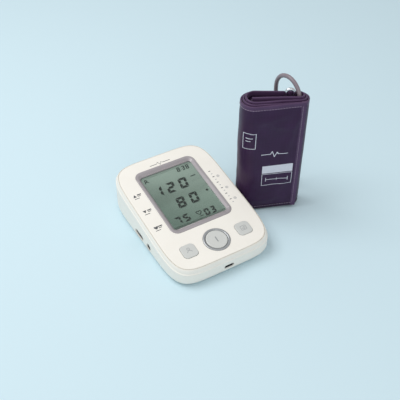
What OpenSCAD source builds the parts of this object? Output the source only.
// Desktop upper-arm blood pressure monitor with its folded D-ring cuff.
// Millimetres. +X right, +Y to the monitor's rear, +Z up.
// The origin is the middle of the monitor's footprint, on the table.

/* [Monitor body] */
// Width of the body at its widest, left to right
body_w = 109.6; // [107:0.2:118]
// Depth of the body at its widest, front to back
body_d = 148; // [146:0.5:156]
// Height of the face's front edge above the table
face_front_h = 20; // [19.8:0.1:26]
// Slope of the face, rising to the rear, in degrees
face_slope = 8; // [7.6:0.1:10]
// Squareness of the outline: 2 is an ellipse, higher is squarer
corner_power = 6; // [5.4:0.2:9]
// Thickness of the lower case's walls and floor
wall = 2.2; // [1.8:0.1:2.4]
// Thickness of the face
cover_t = 2; // [1.7:0.1:2.2]
// Height that the lower case stands off the table
foot_h = 1; // [0.8:0.1:1.4]
// Fall from the face's edge to the widest line of the side
shoulder_drop = 7; // [5:0.5:8]
// How far the shoulder swells outwards from the face's edge
shoulder_swell = 2.4; // [2:0.1:3]
// Width of the shadow line round the face
seam_gap = 0.3; // [0.2:0.05:0.5]
// Radius of the rubber feet
foot_r = 5; // [4:0.5:6]

/* [Display] */
// Width of the silver bezel at each side of the visible display
bezel_side = 4.75; // [4.5:0.05:5]
// Width of the silver bezel at each end of the visible display
bezel_end = 6.15; // [5.8:0.05:6.4]
// Corner radius of the bezel
bezel_r = 8; // [6:0.5:10]
// Visible width of the display
window_w = 58.4; // [56:0.1:59]
// Visible length of the display, along the slope
window_l = 74.4; // [72:0.1:75]
// Corner radius of the visible display
window_r = 2.5; // [1.5:0.5:4]
// Distance of the display's middle behind the body's middle, along the slope
display_y = 14.4; // [13:0.2:15]
// Thickness of the clear lens
lens_t = 1.2; // [1:0.1:1.4]
// Depth of the lens below the face
lens_depth = 1.4; // [1.2:0.1:1.6]
// Thickness of the liquid crystal panel
lcd_t = 2.2; // [1.8:0.1:2.3]
// Thickness of the backlight plate
backlight_t = 2.2; // [1.5:0.1:2.3]

/* [Buttons] */
// Distance of the row of buttons in front of the body's middle, along the slope
button_row = 51.2; // [50.8:0.2:52]
// Distance from the start button to each side button
button_pitch = 30.2; // [29:0.1:30.6]
// Radius of the start button's cap
start_r = 10.6; // [9:0.1:10.9]
// Width of the silver ring round the start button
ring_w = 2.5; // [2:0.1:2.7]
// Side of the square side buttons
key_w = 15; // [13:0.1:15.3]
// Corner radius of the side buttons
key_r = 4; // [2:0.5:6]
// Height of the caps above the face
cap_rise = 0.8; // [0.5:0.1:1.2]
// Travel of each button
button_travel = 0.8; // [0.5:0.1:1]
// Gap round each cap
cap_gap = 0.3; // [0.2:0.05:0.4]

/* [Board] */
// Depth of the main board's top below the face
board_depth = 9; // [8.8:0.1:9.2]
// Thickness of the main board
board_t = 1.6; // [1.2:0.1:1.7]
// Width of the main board
board_w = 76; // [74:0.5:77]
// Length of the main board, along the slope
board_l = 51; // [50:0.5:51.5]

/* [Battery] */
// Radius of a cell
cell_r = 7.1; // [6.9:0.05:7.15]
// Length of a cell with its nub
cell_l = 50; // [49:0.1:50.4]
// Distance between cells
cell_pitch = 14.7; // [14.4:0.1:15]
// Number of cells
cell_count = 4; // [2:1:4]
// Length of the battery bay
bay_l = 56; // [55.5:0.1:56.4]
// Distance of the bay's middle behind the body's middle
bay_y = 15; // [14.4:0.1:15.2]
// Thickness of the battery door
door_t = 1.8; // [1.2:0.1:1.9]
// Thickness of the bay's own walls
bay_wall = 1.2; // [1:0.1:1.4]

/* [Air system] */
// Radius of the pump motor and the pump's head
pump_r = 12; // [10.5:0.1:12.2]
// Length of the pump motor
motor_l = 26; // [22:0.5:30]
// Length of the pump's head
head_l = 20; // [18:0.5:21]
// Radius of the pump's shaft
shaft_r = 1; // [0.8:0.1:1.5]
// Bore radius of the air socket that takes the hose's plug
socket_r = 2.2; // [2:0.05:2.4]
// Depth of the air socket's bore
socket_l = 9; // [8:0.5:9.5]
// Distance of the air socket behind the body's middle
socket_y = 4.8; // [3:0.2:7]
// Height of the ports on the left side
port_h = 9; // [8.6:0.1:9.6]
// Radius of the air tubes' outside
tube_r = 2.6; // [2.3:0.1:2.8]
// Radius of the nipples that carry the air tubes
nipple_r = 1.6; // [1.3:0.1:1.8]
// Travel of the exhaust valve's plunger
valve_travel = 0.8; // [0.4:0.1:1]

/* [Ports] */
// Distance of the power jack in front of the body's middle
jack_y = 14.8; // [13:0.2:18]
// Radius of the power jack's hole
jack_r = 3; // [2.8:0.1:3.2]
// Radius of the power jack's centre pin
jack_pin_r = 1; // [0.65:0.05:1.05]
// Width of the front port's mouth
usb_w = 8.6; // [8:0.1:9]
// Height of the front port's mouth
usb_h = 2.8; // [2.6:0.1:2.9]
// Height of the front port's middle above the table
usb_z = 8.4; // [8:0.1:8.6]

/* [Cuff] */
// Height of the folded cuff, which is the width of its band
cuff_h = 128; // [120:1:150]
// Width of the folded cuff
cuff_w = 66; // [64:0.5:80]
// Thickness of one layer of the band
band_t = 2; // [1.6:0.1:2.4]
// Gap between layers
band_gap = 0.3; // [0.3:0.05:0.6]
// Radius of the innermost fold, to the middle of its layer
core_r = 4.6; // [4.5:0.1:5.2]
// Number of full turns in the fold
band_turns = 3; // [2:1:4]
// How much wider the fold is on the left, where it stands open
left_swell = 3; // [1:0.5:4]
// How much higher the inner end of the band stands than the left fold
cuff_skew = 5; // [3:0.5:6]
// How much higher the free end of the band stands than the left fold
end_lift = 3; // [0:0.5:5]
// Distance of the front layer's bound end from the cuff's right side
free_end = 5; // [3:0.5:8]
// Place of the cuff's front left corner, to the right of the body's side
cuff_x = -3.2; // [-4:0.1:6]
// Place of the cuff's front left corner, behind the body's middle
cuff_y = -6; // [-20:1:20]
// Angle that the cuff is turned clockwise from the monitor
cuff_turn = 28; // [24:0.5:32]

/* [D-ring and hose] */
// Radius of the D-ring's wire
ring_wire_r = 1.5; // [1.2:0.1:1.6]
// Distance between the middles of the D-ring's two bars
ring_span = 7.2; // [6.8:0.1:7.4]
// Overall length of the D-ring
ring_l = 138; // [136:0.5:140]
// Outer radius of the air hose
hose_r = 2.1; // [1.9:0.05:2.2]
// Outer radius of the spare hose's coil, to the middle of the hose
coil_outer = 27.7; // [27.7:0.1:29]
// Distance from one turn to the next
coil_pitch = 4.7; // [4.65:0.05:5]
// Radius of the plug's pin
plug_r = 2.05; // [1.9:0.05:2.15]
// Length of the plug's pin
plug_l = 9; // [8:0.5:10]

/* [Hidden] */
$fn = 64;
clear = 0.3;
fit = 0.05;
touch = 0.01;
outline_n = 72;

// Colours
shell_white = "#F4F1EA";
silver = "#C9C9CB";
key_grey = "#D9DBD8";
dark_plastic = "#2A2B2E";
board_green = "#1F5B3A";
steel = "#B9BCC0";
plum = "#2F1D36";
hose_grey = "#8D8088";

// Face: its height at the body's middle, and at any y
face_tan = tan(face_slope);
face_mid_h = face_front_h + face_tan * body_d / 2;
function face_z(y) = face_mid_h + face_tan * y;

// Insets from the body's widest outline
seam_in = shoulder_swell;
cover_in = seam_in + seam_gap;
ledge_w = 2.2;
lip_in = seam_in + ledge_w + 0.25;
lip_t = 1.6;
ledge_drop = 1;
rim_drop = 0.3;
belt_z = 6;
tuck_in = 4;
floor_top = foot_h + wall;
inner_x = body_w / 2 - wall - 0.2;

// Parts in the face, as depths below it
bezel_w = window_w + 2 * bezel_side;
bezel_l = window_l + 2 * bezel_end;
bezel_seat = 1;
bezel_rise = 0.4;
skirt_t = 0.8;
skirt_w = window_w + 2 * skirt_t;
skirt_l = window_l + 2 * skirt_t;
lens_low = lens_depth + lens_t;
lcd_w = window_w + 3.2;
lcd_l = window_l + 4.8;
lcd_low = lens_low + lcd_t;
lcd_shift = -1.2;
strip_w = lcd_w - 11.6;
strip_t = 2.8;
light_short = 5.2;
light_low = lcd_low + backlight_t;
holder_wall = 1.3;
holder_w = lcd_w + 2 * (clear + holder_wall);
holder_l = lcd_l + 2 * (clear + holder_wall);
holder_low = light_low + 1.6;
lcd_mid = display_y + lcd_shift;

// Buttons
flange_t = 1;
flange_over = 1.1;
under_gap = 0.2;
stem_r = 2.6;
stem_low = cover_t + under_gap + flange_t + 1.2;
switch_gap = 0.2;
switch_w = 6;
ring_out = start_r + cap_gap + ring_w;

// Board
board_front = 6 - body_d / 2;
board_rear = board_front + board_l;
board_low = board_depth + board_t;
board_boss = [[board_w / 2 - 4, board_front + 3.5], [board_w / 2 - 4, board_front + 34]];
boss_r = 2.8;
screw_r = 1.2;

// Case posts
post_r = 3.5;
post_xy = [
    [body_w / 2 - 11.8, -(body_d / 2 - 19)],
    [body_w / 2 - 17.3, body_d / 2 - 12.5]
];

// Feet
foot_x = body_w / 2 - 13;
foot_y = body_d / 2 - 30;

// Battery bay
bay_w = cell_count * cell_pitch + 0.6;
bay_front = bay_y - bay_l / 2;
bay_rear = bay_y + bay_l / 2;
cell_z = foot_h + door_t + 0.2 + cell_r;
bay_roof = cell_z + cell_r + 0.2;
contact_t = 0.5;
spring_l = bay_l - cell_l - 2 * contact_t - 2 * clear;

// Pump and valve
pump_y = body_d / 2 - wall - 0.8 - pump_r;
pump_z = floor_top + 1.2 + pump_r;
head_x = -24;
motor_x = head_x + head_l;
line_x = 3.4 - board_w / 2;
valve_box = [13, 14, 12.8];
valve_x = -inner_x + 8.4;
valve_y = pump_y - 15.5;
rear_line = [pump_y - 5, port_h + 3];
plunger_r = 1.8;
plunger_z = 12.4;
nipple_l = 4;

// Port bodies
port_x = -inner_x + 0.15;
slot_l = 16.4;
slot_h = 6;
slot_sink = 1.2;
socket_face = -body_w / 2 + slot_sink;
sensor_y = board_front + 46;
sensor_box = [6.8, 8, 4];

// Cuff
pitch = band_t + band_gap;
fold_r = core_r + (band_turns - 0.5) * pitch + left_swell;
v_left = fold_r + band_t / 2;
v_mid = v_left + pitch / 2;
u_left = fold_r + band_t / 2;
u_right = cuff_w - core_r - (band_turns - 1) * pitch - band_t / 2;
front_taper = left_swell / (u_right - u_left);
end_u = cuff_w - free_end;
arc_n = 10;
pocket_t = 6.2;
pocket_u = [9, 39];
pocket_z = 8;
ring_u = 43;
ring_low = 1.5;
keeper_gap = 0.1;
keeper_t = 1;
swing = 8;

// Free hose in the cuff's own frame: up out of the roll, over its top and down behind it
hose_route = [
    [55.8, 15.5, 113], [56.1, 15, 118.6], [56.4, 14.6, 124.6], [55.7, 15.7, 131.2],
    [53.7, 18.9, 136.9], [50.7, 23.7, 140.6], [47.2, 29.3, 141.9], [43.7, 34.9, 140.6],
    [40.7, 39.7, 136.9], [38.7, 42.9, 131.2], [38, 44, 124.6], [38.6, 44, 112],
    [40.3, 43.9, 102], [42.8, 43.8, 92], [46.5, 43.6, 80], [50.8, 43.4, 67],
    [54.8, 43.2, 54], [57.5, 43.1, 42], [58.7, 43, 33], [58.9, 43, 25.1],
    [57.6, 43, 18.4], [53.8, 43, 12.7], [48.1, 43, 8.9], [41.4, 43, 7.6],
    [38, 43, 7.6]
];
port_l = 11;
port_neck = 3;
coil_mid = [38, 66];
coil_rings = 24;
coil_sides = 6;
hose_sides = 8;
coil_turns = 3.5;
coil_low = 2.9;
coil_high = 7.6;
coil_plug_z = 3.8;
turn_back = 1.25;
drop_from = 1;
drop_to = 1.5;
rise_from = 3.2;

// ---------- shared shapes ----------

// Closed outline of the body, drawn in by inset: its points crowd into the corners
function squared(v) = sign(v) * pow(abs(v), 2 / corner_power);
function rim(inset) = [
    for (i = [0 : outline_n - 1])
        let (a = 360 * i / outline_n)
        [(body_w / 2 - inset) * squared(cos(a)), (body_d / 2 - inset) * squared(sin(a))]
];

// The same outline at one height, or at one drop below the sloping face
function flat_level(inset, z) = [for (p = rim(inset)) [p[0], p[1], z]];
function face_level(inset, drop) = [for (p = rim(inset)) [p[0], p[1], face_z(p[1]) - drop]];

// Closed solid through a stack of outlines with the same number of points
module loft(levels) {
    n = len(levels[0]);
    k = len(levels);
    points = [for (l = levels) for (p = l) p];
    sides = [
        for (j = [0 : k - 2]) for (i = [0 : n - 1])
            let (a = j * n + i, b = j * n + (i + 1) % n)
            each [[a, a + n, b + n], [a, b + n, b]]
    ];
    low = [[for (i = [0 : n - 1]) i]];
    high = [[for (i = [n - 1 : -1 : 0]) (k - 1) * n + i]];
    polyhedron(points = points, faces = concat(sides, low, high));
}

// Rounded slab standing on z = 0
module slab(w, l, h, r) {
    linear_extrude(height = h) {
        square([w - 2 * r, l], center = true);
        square([w, l - 2 * r], center = true);
        for (x = [-1, 1]) for (y = [-1, 1])
            translate([x * (w / 2 - r), y * (l / 2 - r)]) circle(r = r);
    }
}

// Long slot shape across X, extruded along Z
module stadium(l, w, h) {
    linear_extrude(height = h) {
        square([l - w, w], center = true);
        for (x = [-1, 1]) translate([x * (l - w) / 2, 0]) circle(d = w);
    }
}

// Frame of the sloping face: z = 0 is its surface
module on_face(x = 0, y = 0, depth = 0) {
    translate([0, 0, face_mid_h]) rotate([face_slope, 0, 0])
        translate([x, y, -depth]) children();
}

// Bar between two heights in the current frame
module bar(r, from, to) {
    translate([0, 0, from]) cylinder(r = r, h = to - from);
}

// Rod along X or Y
module rod_x(r, from, to, y, z) {
    translate([from, y, z]) rotate([0, 90, 0]) cylinder(r = r, h = to - from);
}

module rod_y(r, from, to, x, z) {
    translate([x, from, z]) rotate([-90, 0, 0]) cylinder(r = r, h = to - from);
}

// Box from its lowest corner and its size
module block(low, size) {
    translate(low) cube(size);
}

// Frame of the cuff: u to its right, v to its back, from its front left corner
module on_cuff() {
    translate([body_w / 2 + cuff_x, cuff_y, 0]) rotate([0, 0, -cuff_turn]) children();
}

// Unit vector
function unit(v) = v / norm(v);

// One ring of a tube at a point, square to a direction, with a fixed reference
function ring_at(c, d, r, n, ref) =
    let (side = unit(cross(d, ref)), up = cross(side, d))
    [for (i = [0 : n - 1]) c + r * (cos(360 * i / n) * side + sin(360 * i / n) * up)];

// Direction of a path at point i
function heading(path, i) =
    unit(path[min(i + 1, len(path) - 1)] - path[max(i - 1, 0)]);

// Solid tube along a path
module tube(path, r, n, ref, first, last) {
    k = len(path);
    rings = [
        for (i = [0 : k - 1])
            let (d = i == 0 ? first : i == k - 1 ? last : heading(path, i))
            ring_at(path[i], d, r, n, ref)
    ];
    points = [for (q = rings) for (p = q) p];
    sides = [
        for (j = [0 : k - 2]) for (i = [0 : n - 1])
            let (a = j * n + i, b = j * n + (i + 1) % n)
            each [[a, b, b + n], [a, b + n, a + n]]
    ];
    low = [[for (i = [n - 1 : -1 : 0]) i]];
    high = [[for (i = [0 : n - 1]) (k - 1) * n + i]];
    polyhedron(points = points, faces = concat(sides, low, high));
}

// ---------- monitor: shells ----------

// Case wall as one closed skin: up the outside, over the rim, down the inside to the floor
module case_shell() {
    loft([
        flat_level(tuck_in, foot_h),
        flat_level(tuck_in / 2, foot_h + 0.7),
        flat_level(tuck_in / 6, foot_h + 2.4),
        flat_level(0, belt_z),
        face_level(0, shoulder_drop),
        face_level(seam_in / 5, shoulder_drop / 2),
        face_level(seam_in * 0.6, shoulder_drop / 5),
        face_level(seam_in * 0.8, rim_drop * 2),
        face_level(seam_in * 0.92, rim_drop),
        face_level(seam_in, rim_drop),
        face_level(seam_in, ledge_drop),
        face_level(seam_in + ledge_w, ledge_drop),
        face_level(wall + 1.6, shoulder_drop / 2),
        face_level(wall + 0.2, shoulder_drop),
        flat_level(wall + 0.2, belt_z),
        flat_level(tuck_in + 0.4, floor_top)
    ]);
}

// Face, its edge on the case's ledge and its lip inside, as one closed skin
module cover_shell() {
    loft([
        face_level(lip_in + lip_t, cover_t),
        face_level(lip_in + lip_t, cover_t + 2),
        face_level(lip_in, cover_t + 2),
        face_level(lip_in, ledge_drop),
        face_level(cover_in, ledge_drop),
        face_level(cover_in, 0.35),
        face_level(cover_in + 0.25, 0.1),
        face_level(cover_in + 0.8, 0)
    ]);
}

function post_split(y) = (floor_top + face_z(y) - cover_t) / 2;

module at_posts() {
    for (p = post_xy) for (s = [-1, 1])
        translate([s * p[0], p[1], 0]) {
            $post_z = post_split(p[1]);
            $post_top = face_z(p[1]) - cover_t / 2;
            children();
        }
}

module lower_case() {
    color(shell_white)
    difference() {
        union() {
            case_shell();
            block([-bay_w / 2 - bay_wall, bay_front - bay_wall, foot_h + wall / 2],
                  [bay_w + 2 * bay_wall, bay_l + 2 * bay_wall,
                   bay_roof + bay_wall - foot_h - wall / 2]);
            at_posts() bar(post_r, floor_top - 0.5, $post_z - 0.1);
        }
        block([-bay_w / 2, bay_front, 0], [bay_w, bay_l, bay_roof]);
        at_posts() {
            bar(screw_r + 0.4, foot_h + 1, $post_z + 1);
            bar(3, foot_h - 1, foot_h + 3);
        }
        for (x = [-1, 1]) for (y = [-1, 1])
            translate([x * foot_x, y * foot_y, 0]) bar(foot_r + 0.2, 0, foot_h + 0.4);
        translate([-body_w / 2 - 1, socket_y, port_h]) rotate([0, 90, 0])
            rotate([0, 0, 90]) stadium(slot_l + 0.6, slot_h + 0.6, wall + 3);
        rod_x(jack_r + 0.9, -body_w / 2 - 1, -inner_x + 1, -jack_y, port_h);
        translate([0, -body_d / 2 - 1, usb_z]) rotate([-90, 0, 0])
            stadium(usb_w + 2.2, usb_h + 1.2, wall + 3);
    }
}

module top_cover() {
    color(shell_white)
    difference() {
        union() {
            cover_shell();
            at_posts() bar(post_r - 0.3, $post_z + 0.1, $post_top);
            for (b = board_boss) for (s = [-1, 1])
                on_face(s * b[0], b[1], board_depth) cylinder(r = boss_r, h = board_depth - 1);
        }
        on_face(0, display_y, bezel_seat)
            slab(bezel_w + 2 * 0.15, bezel_l + 2 * 0.15, bezel_seat + 1, bezel_r + 0.15);
        on_face(0, display_y, cover_t + 1)
            slab(skirt_w + 0.4, skirt_l + 0.4, cover_t + 1, window_r + skirt_t);
        on_face(0, -button_row, ledge_drop) cylinder(r = ring_out + 0.15, h = 3);
        on_face(0, -button_row, cover_t + 1) cylinder(r = start_r + 1, h = cover_t + 1);
        for (s = [-1, 1])
            on_face(s * button_pitch, -button_row, cover_t + 1)
                slab(key_w + 2 * cap_gap, key_w + 2 * cap_gap, cover_t + 2, key_r + cap_gap);
        for (b = board_boss) for (s = [-1, 1])
            on_face(s * b[0], b[1], board_depth + 1) cylinder(r = screw_r + fit, h = 6.4);
        at_posts() bar(screw_r + 0.2 + fit, $post_z, $post_z + 6);
    }
}

module battery_door() {
    color(shell_white)
    difference() {
        union() {
            block([-bay_w / 2 + clear, bay_front + clear + door_t / 2, foot_h],
                  [bay_w - 2 * clear, bay_l - 2 * clear - door_t / 2, door_t]);
            rod_x(door_t / 2, -bay_w / 2 + clear, bay_w / 2 - clear,
                  bay_front + clear + door_t / 2, foot_h + door_t / 2);
        }
        for (i = [0 : 4])
            block([-6, bay_rear - 5 - 1.6 * i, foot_h - 0.1], [12, 0.8, 0.5]);
    }
}

module rubber_feet() {
    color("#55565A")
    for (x = [-1, 1]) for (y = [-1, 1])
        translate([x * foot_x, y * foot_y, 0]) bar(foot_r, 0, foot_h + 0.4);
}

module case_screws() {
    color(steel)
    at_posts() {
        bar(2.6, foot_h + 1.4, foot_h + 3);
        bar(screw_r + 0.2, foot_h + 3 - touch, $post_z + 5);
    }
}

// ---------- monitor: display ----------

module display_bezel() {
    color(silver)
    difference() {
        union() {
            on_face(0, display_y, bezel_seat)
                slab(bezel_w, bezel_l, bezel_seat + bezel_rise, bezel_r);
            on_face(0, display_y, lens_low)
                slab(skirt_w, skirt_l, lens_low - bezel_seat + touch, window_r + skirt_t);
        }
        on_face(0, display_y, lens_low + 1)
            slab(window_w, window_l, lens_low + 3, window_r);
        on_face(0, display_y) hull() {
            translate([0, 0, bezel_rise + touch])
                slab(bezel_w - 2.4, bezel_l - 2.4, touch, bezel_r - 1.2, $fn = 32);
            translate([0, 0, -lens_depth - touch])
                slab(window_w, window_l, touch, window_r, $fn = 32);
        }
    }
}

module display_lens() {
    color([0.6, 0.67, 0.64, 0.4])
    on_face(0, display_y, lens_low)
        slab(window_w - 0.4, window_l - 0.4, lens_t, window_r - 0.2);
}

module lcd_panel() {
    color("#93A69E")
    on_face(0, lcd_mid, lcd_low) slab(lcd_w, lcd_l, lcd_t, 1);
}

module backlight_plate() {
    color("#E8EBE6")
    on_face(0, lcd_mid + light_short / 2, light_low)
        slab(lcd_w, lcd_l - light_short, backlight_t, 1);
}

strip_y = lcd_mid - lcd_l / 2 + 0.6 + strip_t / 2;

module lcd_holder() {
    color("#DADCDA")
    difference() {
        on_face(0, lcd_mid, holder_low) slab(holder_w, holder_l, holder_low - cover_t, 2);
        on_face(0, lcd_mid, light_low)
            slab(lcd_w + 2 * clear, lcd_l + 2 * clear, light_low, 1 + clear);
        on_face(0, lcd_mid + 3, holder_low + 1) slab(lcd_w - 9.6, lcd_l - 19.2, 4, 2);
        on_face(0, strip_y, holder_low + 1) slab(strip_w + 0.6, strip_t + 0.6, 4, 0.5);
    }
}

module contact_strip() {
    color("#D98BA0")
    on_face(0, strip_y, board_depth) slab(strip_w, strip_t, board_depth - lcd_low, 0.4);
}

// ---------- monitor: board ----------

module main_board() {
    color(board_green)
    difference() {
        on_face(0, (board_front + board_rear) / 2, board_low)
            slab(board_w, board_l, board_t, 2);
        for (b = board_boss) for (s = [-1, 1])
            on_face(s * b[0], b[1], board_low + 1) cylinder(r = screw_r + 0.15, h = board_t + 2);
    }
}

module board_chips() {
    color(dark_plastic) {
        on_face(-board_w / 9.5, board_front + 28, board_low + 1.6) slab(12, 12, 1.6, 0.5);
        for (x = [board_w / 9.5, board_w / 4.75])
            on_face(x, board_front + 40, board_low + 1.5) slab(5, 6, 1.5, 0.3);
        for (i = [0 : 2])
            on_face(board_w / 2 - 11, board_front + 22 + 8 * i, board_low + 1.2)
                slab(3.2, 2, 1.2, 0.2);
    }
}

module board_screws() {
    color(steel)
    for (b = board_boss) for (s = [-1, 1]) on_face(s * b[0], b[1], board_low) {
        bar(2.3, -1.4, 0);
        bar(screw_r, -touch, 6);
    }
}

module tact_switches() {
    color(dark_plastic)
    for (i = [-1, 0, 1])
        on_face(i * button_pitch, -button_row, board_depth) {
            slab(switch_w, switch_w, 3.1, 0.3);
            bar(1.7, 3.1 - touch, board_depth - stem_low - button_travel - switch_gap);
        }
}

module buzzer() {
    color("#202124")
    on_face(board_w / 2 - 18, board_front + 16, board_low) difference() {
        bar(6, -3.6, 0);
        bar(1, -4, -2);
    }
}

module pressure_sensor() {
    color("#E4E0D2") {
        on_face(line_x, sensor_y, board_low + sensor_box[2])
            slab(sensor_box[0], sensor_box[1], sensor_box[2], 0.5);
        translate([line_x, sensor_tip_y, 0])
            bar(nipple_r - fit, port_h + 0.6, sensor_base_z + 1.5);
    }
}

// Where the sensor's nipple meets its underside
sensor_tip_y = sensor_y * cos(face_slope) + (board_low + sensor_box[2]) * sin(face_slope);
sensor_base_z = face_mid_h + sensor_y * sin(face_slope)
    - (board_low + sensor_box[2]) * cos(face_slope);

// ---------- monitor: buttons ----------

module start_ring() {
    color(silver)
    on_face(0, -button_row, ledge_drop)
        rotate_extrude() polygon([
            [start_r + cap_gap, 0], [ring_out, 0], [ring_out, ledge_drop + 0.2],
            [ring_out - 0.5, ledge_drop + cap_rise - 0.1],
            [start_r + cap_gap + 0.5, ledge_drop + cap_rise - 0.1],
            [start_r + cap_gap, ledge_drop + 0.3]
        ]);
}

flange_top = -cover_t - under_gap;

module stem() {
    bar(stem_r, -stem_low, flange_top);
}

module start_button() {
    color(key_grey)
    on_face(0, -button_row) {
        rotate_extrude() polygon([
            [0, flange_top - flange_t], [start_r + flange_over + 0.6, flange_top - flange_t],
            [start_r + flange_over + 0.6, flange_top], [start_r, flange_top],
            [start_r, cap_rise - 0.5], [start_r - 0.5, cap_rise],
            [start_r / 2, cap_rise - 0.15], [0, cap_rise - 0.25]
        ]);
        stem();
    }
}

module side_key(s) {
    color(key_grey)
    on_face(s * button_pitch, -button_row) {
        translate([0, 0, flange_top - flange_t])
            slab(key_w + 2 * flange_over, key_w + 2 * flange_over, flange_t, key_r);
        translate([0, 0, flange_top - touch])
            slab(key_w, key_w, cap_rise - 0.3 - flange_top + touch, key_r);
        translate([0, 0, cap_rise - 0.3 - touch])
            slab(key_w - 0.8, key_w - 0.8, 0.3 + touch, key_r - 0.4);
        stem();
    }
}

module user_button() {
    side_key(-1);
}

module memory_button() {
    side_key(1);
}

// ---------- monitor: air system ----------

cavity_r = 4.2;
hub_r = 3;
hub_off = 0.8;

module pump_motor() {
    color(steel)
    difference() {
        rod_x(pump_r, motor_x, motor_x + motor_l, pump_y, pump_z);
        rod_x(shaft_r + fit, motor_x - 1, motor_x + 6.5, pump_y, pump_z);
    }
}

module pump_head() {
    color("#E8E6DF")
    difference() {
        union() {
            rod_x(pump_r, head_x, motor_x, pump_y, pump_z);
            rod_x(nipple_r, head_x - nipple_l, head_x + 1, rear_line[0], rear_line[1]);
        }
        rod_x(cavity_r, motor_x - 12, motor_x + 1, pump_y, pump_z);
    }
}

module pump_shaft() {
    color("#9A9DA2") {
        rod_x(shaft_r, motor_x - 10, motor_x + 6, pump_y, pump_z);
        rod_x(hub_r, motor_x - 9.5, motor_x - 4, pump_y + hub_off, pump_z);
    }
}

module pump_cradles() {
    color("#3A3B3D")
    difference() {
        for (x = [motor_x - 14, motor_x + motor_l - 14])
            block([x, pump_y - pump_r + 1, floor_top + 0.02], [8, 2 * pump_r - 3.5, 7]);
        rod_x(pump_r + 0.05, head_x - 5, motor_x + motor_l + 5, pump_y, pump_z);
    }
}

module valve_body() {
    color("#D8D2C0")
    difference() {
        union() {
            block([valve_x, valve_y, floor_top], valve_box);
            rod_y(nipple_r, valve_y - nipple_l, valve_y + 1, line_x, port_h);
            rod_x(nipple_r, valve_x + valve_box[0] - 1, valve_x + valve_box[0] + nipple_l - 1,
                  rear_line[0], rear_line[1]);
        }
        rod_y(plunger_r + fit, valve_y + 2, valve_y + 12, valve_x + 4.4, plunger_z);
    }
}

module valve_plunger() {
    color("#9A9DA2")
    rod_y(plunger_r, valve_y + 2.4, valve_y + 12 - valve_travel - 0.2, valve_x + 4.4, plunger_z);
}

module hollow_x(from, to, y, z) {
    difference() {
        rod_x(tube_r, from, to, y, z);
        rod_x(nipple_r + fit, from - 1, to + 1, y, z);
    }
}

module hollow_y(from, to, x, z) {
    difference() {
        rod_y(tube_r, from, to, x, z);
        rod_y(nipple_r + fit, from - 1, to + 1, x, z);
    }
}

module air_tube_rear() {
    color("#D5DBD8")
    hollow_x(valve_x + valve_box[0], head_x, rear_line[0], rear_line[1]);
}

tee_half = 4;

module air_tube_side() {
    color("#D5DBD8")
    hollow_y(socket_y + tee_half, valve_y, line_x, port_h);
}

module air_tube_front() {
    color("#D5DBD8")
    hollow_y(sensor_tip_y + 3, socket_y - tee_half, line_x, port_h);
}

module air_tee() {
    color("#ECECE8") {
        rod_y(tube_r, socket_y - tee_half, socket_y + tee_half, line_x, port_h);
        rod_y(nipple_r, socket_y - tee_half - 3, socket_y + tee_half + 3, line_x, port_h);
        rod_x(tube_r - 0.2, socket_end, line_x, socket_y, port_h);
    }
}

module air_elbow() {
    color("#ECECE8")
    difference() {
        union() {
            block([line_x - 3, sensor_tip_y - 3, port_h - 2.6], [6, 6, 5.2]);
            rod_y(nipple_r, sensor_tip_y, sensor_tip_y + 6, line_x, port_h);
        }
        translate([line_x, sensor_tip_y, 0]) bar(nipple_r, port_h + 0.2, port_h + 3);
    }
}

socket_end = socket_face + socket_l + 1;

module air_socket() {
    color(dark_plastic)
    difference() {
        union() {
            translate([socket_face, socket_y, port_h]) rotate([0, 90, 0])
                rotate([0, 0, 90]) stadium(slot_l, slot_h, port_x + 1.5 - socket_face);
            translate([port_x, socket_y, port_h]) rotate([0, 90, 0])
                rotate([0, 0, 90]) stadium(slot_l + 3, slot_h + 0.4, 1.5);
            rod_x(3.4, port_x, socket_end, socket_y, port_h);
        }
        rod_x(socket_r, socket_face - 1, socket_face + socket_l, socket_y, port_h);
    }
}

// ---------- monitor: ports ----------

module power_jack() {
    color(dark_plastic) {
        difference() {
            union() {
                rod_x(jack_r + 0.6, -body_w / 2 + 1, port_x + 1.5, -jack_y, port_h);
                block([port_x + 1.4, -jack_y - 4.5, port_h - 4.4], [9, 9, 9]);
            }
            rod_x(jack_r, -body_w / 2, -body_w / 2 + 9, -jack_y, port_h);
        }
        rod_x(jack_pin_r, -body_w / 2 + 1.8, -body_w / 2 + 9.5, -jack_y, port_h);
    }
}

module front_port() {
    color("#A7AAAE") {
        difference() {
            translate([0, -body_d / 2 + 0.8, usb_z]) rotate([-90, 0, 0])
                stadium(usb_w + 0.8, usb_h + 0.8, 8.4);
            translate([0, -body_d / 2, usb_z]) rotate([-90, 0, 0])
                stadium(usb_w, usb_h, 8);
        }
        block([-3.2, -body_d / 2 + 2, usb_z - 0.35], [6.4, 6.5, 0.7]);
    }
}

// ---------- monitor: battery ----------

// Each cell in turn: its x and the way its nub points, +1 to the rear
module each_cell() {
    for (i = [0 : cell_count - 1])
        translate([(i - (cell_count - 1) / 2) * cell_pitch, bay_y, cell_z])
            rotate([0, 0, i % 2 == 0 ? 0 : 180]) children();
}

nub_end = bay_l / 2 - contact_t - clear;

module battery_cells() {
    color("#B08D57")
    each_cell() {
        rod_y(cell_r, nub_end - cell_l, nub_end - 1, 0, 0);
        rod_y(2.6, nub_end - 1 - touch, nub_end, 0, 0);
    }
}

module battery_contacts() {
    color(steel)
    each_cell() {
        block([-5, nub_end + clear, -4], [10, contact_t, 9]);
        block([-5, -bay_l / 2, -4], [10, contact_t, 9]);
    }
}

coil_springs = [for (i = [0 : 30]) let (t = i / 30)
    [(3.6 - 1.4 * t) * cos(360 * 2.5 * t), (spring_l - 0.9) * t + 0.45,
     (3.6 - 1.4 * t) * sin(360 * 2.5 * t)]];

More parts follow.
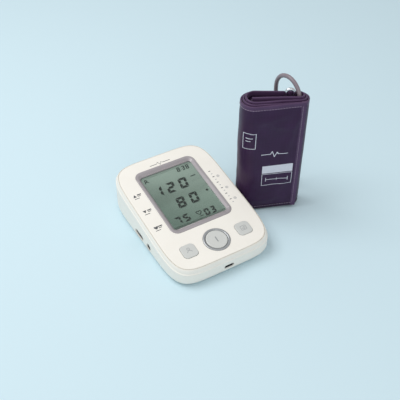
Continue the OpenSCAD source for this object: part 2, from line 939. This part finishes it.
module battery_springs() {
    color("#C8CBCF")
    each_cell()
        translate([0, -bay_l / 2 + contact_t, 0])
            tube(coil_springs, 0.4, 5, [0, 1, 0],
                 heading(coil_springs, 0), heading(coil_springs, 30));
}

// ---------- cuff ----------

// Middle line of the flattened roll, from its inner end, as [u, v, angle of its outer side]
function arc(cu, cv, r, from) =
    [for (i = [0 : arc_n]) let (a = from + 180 * i / arc_n) [cu + r * cos(a), cv + r * sin(a), a]];

roll = concat(
    [[pocket_u[0] + 2, v_mid - core_r, -90]],
    [for (k = [0 : band_turns - 1]) each concat(
        arc(u_right, v_mid, core_r + k * pitch, -90),
        arc(u_left, v_left, core_r + (k + 0.5) * pitch + left_swell, 90))],
    [[end_u, band_t / 2 + (end_u - u_left) * front_taper, -90]]
);
last_fold = len(roll) - 2 - arc_n / 2;

function band_lift(i) =
    i < last_fold ? cuff_skew * (1 - i / last_fold)
    : end_lift * (i - last_fold) / (len(roll) - 1 - last_fold);

function band_station(i) =
    let (p = roll[i], n = [cos(p[2]), sin(p[2])] * band_t / 2, z = band_lift(i))
    [
        [p[0] - n[0], p[1] - n[1], z], [p[0] + n[0], p[1] + n[1], z],
        [p[0] + n[0], p[1] + n[1], z + cuff_h], [p[0] - n[0], p[1] - n[1], z + cuff_h]
    ];

module cuff_band() {
    color(plum)
    on_cuff() loft([for (i = [0 : len(roll) - 1]) band_station(i)]);
}

module bladder_pocket() {
    color("#3A2B44")
    on_cuff() difference() {
        block([pocket_u[0], v_mid - pocket_t / 2, pocket_z],
              [pocket_u[1] - pocket_u[0], pocket_t, cuff_h - pocket_z]);
        block([pocket_u[0] + 2, v_mid - pocket_t / 2 + 1.6, pocket_z + 2],
              [pocket_u[1] - pocket_u[0] - 4, pocket_t - 3.2, cuff_h - pocket_z - 4]);
    }
}

module cuff_bladder() {
    color("#8C8F93")
    on_cuff()
        block([pocket_u[0] + 2.2, v_mid - pocket_t / 2 + 1.8, pocket_z + 2.2],
              [pocket_u[1] - pocket_u[0] - 4.4, pocket_t - 3.6, cuff_h - pocket_z - 4.4]);
}

patch_t = 1.1;
patch_w = u_right - u_left - 4;

module loop_patch() {
    color("#1E1622")
    on_cuff() translate([u_left, v_left + u_left, 0]) rotate([0, 0, -atan(front_taper)])
        block([2, touch * 3, pocket_z], [patch_w, patch_t, cuff_h - pocket_z]);
}

module ring_keeper() {
    color("#3A2B44")
    on_cuff() difference() {
        union() {
            translate([ring_u, v_mid, 0])
                bar(ring_wire_r + keeper_gap + keeper_t, pocket_z, cuff_h);
            block([pocket_u[1], v_mid - keeper_t, pocket_z],
                  [ring_u - pocket_u[1], 2 * keeper_t, cuff_h - pocket_z]);
        }
        translate([ring_u, v_mid, 0]) bar(ring_wire_r + keeper_gap, 0, cuff_h + 10);
    }
}

bend_r = ring_span / 2;
bend_low = ring_low + ring_wire_r + bend_r;
bend_high = ring_low + ring_l - ring_wire_r - bend_r;

module d_ring() {
    color("#D6D8DB")
    on_cuff() translate([ring_u, v_mid, 0]) {
        for (u = [0, ring_span]) translate([u, 0, 0]) bar(ring_wire_r, bend_low, bend_high);
        for (e = [[bend_high, 1], [bend_low, -1]])
            translate([bend_r, 0, e[0]]) rotate([e[1] * 90, 0, 0])
                rotate_extrude(angle = 180) translate([bend_r, 0]) circle(r = ring_wire_r);
    }
}

module hose_port() {
    color("#6E6570")
    on_cuff() translate([u_right, v_mid, hose_route[0][2] - port_neck]) {
        bar(core_r - band_t / 2 - clear, -port_l, 0);
        bar(hose_r + 0.6, -touch, port_neck);
    }
}

module hose() {
    color(hose_grey)
    on_cuff() tube(hose_route, hose_r, hose_sides, [0.85, 0.53, 0], [0, 0, 1], [-1, 0, 0]);
}

// Coil of spare hose: in on the upper layer, down where it turns back, out on the table
coil_least = coil_outer - coil_pitch * (coil_turns - turn_back);
function ramp(t, a, b) = let (s = max(0, min(1, (t - a) / (b - a)))) s * s * (3 - 2 * s);
function coil_r(t) = coil_least + coil_pitch * abs(t - turn_back);
function coil_z(t) =
    coil_high + (coil_low - coil_high) * ramp(t, drop_from, drop_to)
    + (coil_plug_z - coil_low) * ramp(t, rise_from, coil_turns);
function coil_point(t) =
    let (a = -90 - 360 * t)
    [coil_mid[0] + coil_r(t) * cos(a), coil_mid[1] + coil_r(t) * sin(a), coil_z(t)];
coil_last = coil_point(coil_turns);
coil_path = concat(
    [for (i = [0 : coil_rings * coil_turns]) coil_point(i / coil_rings)],
    [coil_last + [2 * hose_r, 0, 0]]
);

module hose_coil() {
    color(hose_grey)
    on_cuff() tube(coil_path, hose_r, coil_sides, [0, 0, 1], [-1, 0, 0], [1, 0, 0]);
}

// Least gap between turns, measured point to segment on rings half a turn or more apart
function point_gap(p, a, b) =
    let (d = b - a, s = max(0, min(1, (p - a) * d / (d * d)))) norm(p - a - s * d);
coil_gap = min([
    for (i = [0 : len(coil_path) - 2])
        for (j = [i + coil_rings / 2 : 1 : len(coil_path) - 2])
            point_gap(coil_path[i], coil_path[j], coil_path[j + 1])
]) - 2 * hose_r;
echo(least_gap_in_the_coil = coil_gap);

tie_u = [coil_mid[0] + 16.5, coil_mid[0] + 26.8];
tie_t = 0.7;
tie_top = coil_high + hose_r + 0.4;

module hose_tie() {
    color("#26232A")
    on_cuff() translate([0, coil_mid[1] + 4, 0]) rotate([90, 0, 0]) difference() {
        translate([(tie_u[0] + tie_u[1]) / 2, (tie_top + tie_t) / 2, 0])
            slab(tie_u[1] - tie_u[0] + 2 * tie_t, tie_top + tie_t, 8, 2);
        translate([(tie_u[0] + tie_u[1]) / 2, (tie_top + tie_t) / 2, -1])
            slab(tie_u[1] - tie_u[0], tie_top - tie_t, 10, 1.4);
    }
}

plug_start = coil_last + [2 * hose_r, 0, 0];

module air_plug() {
    color("#2A2B2E")
    on_cuff() translate(plug_start) rotate([0, 90, 0]) {
        cylinder(r = 3, h = 3);
        bar(3.7, 3 - touch, 11);
        for (z = [4, 6, 8]) bar(coil_plug_z, z, z + 1);
        bar(2.9, 11 - touch, 13);
        bar(plug_r, 13 - touch, 13 + plug_l);
    }
}

top_cover();
lower_case();
battery_door();
rubber_feet();
case_screws();
display_bezel();
display_lens();
lcd_panel();
backlight_plate();
lcd_holder();
contact_strip();
main_board();
board_chips();
board_screws();
tact_switches();
buzzer();
pressure_sensor();
start_ring();
start_button();
user_button();
memory_button();
pump_motor();
pump_head();
pump_shaft();
pump_cradles();
valve_body();
valve_plunger();
air_tube_rear();
air_tube_side();
air_tube_front();
air_tee();
air_elbow();
air_socket();
power_jack();
front_port();
battery_cells();
battery_contacts();
battery_springs();
cuff_band();
bladder_pocket();
cuff_bladder();
loop_patch();
ring_keeper();
d_ring();
hose_port();
hose();
hose_coil();
hose_tie();
air_plug();
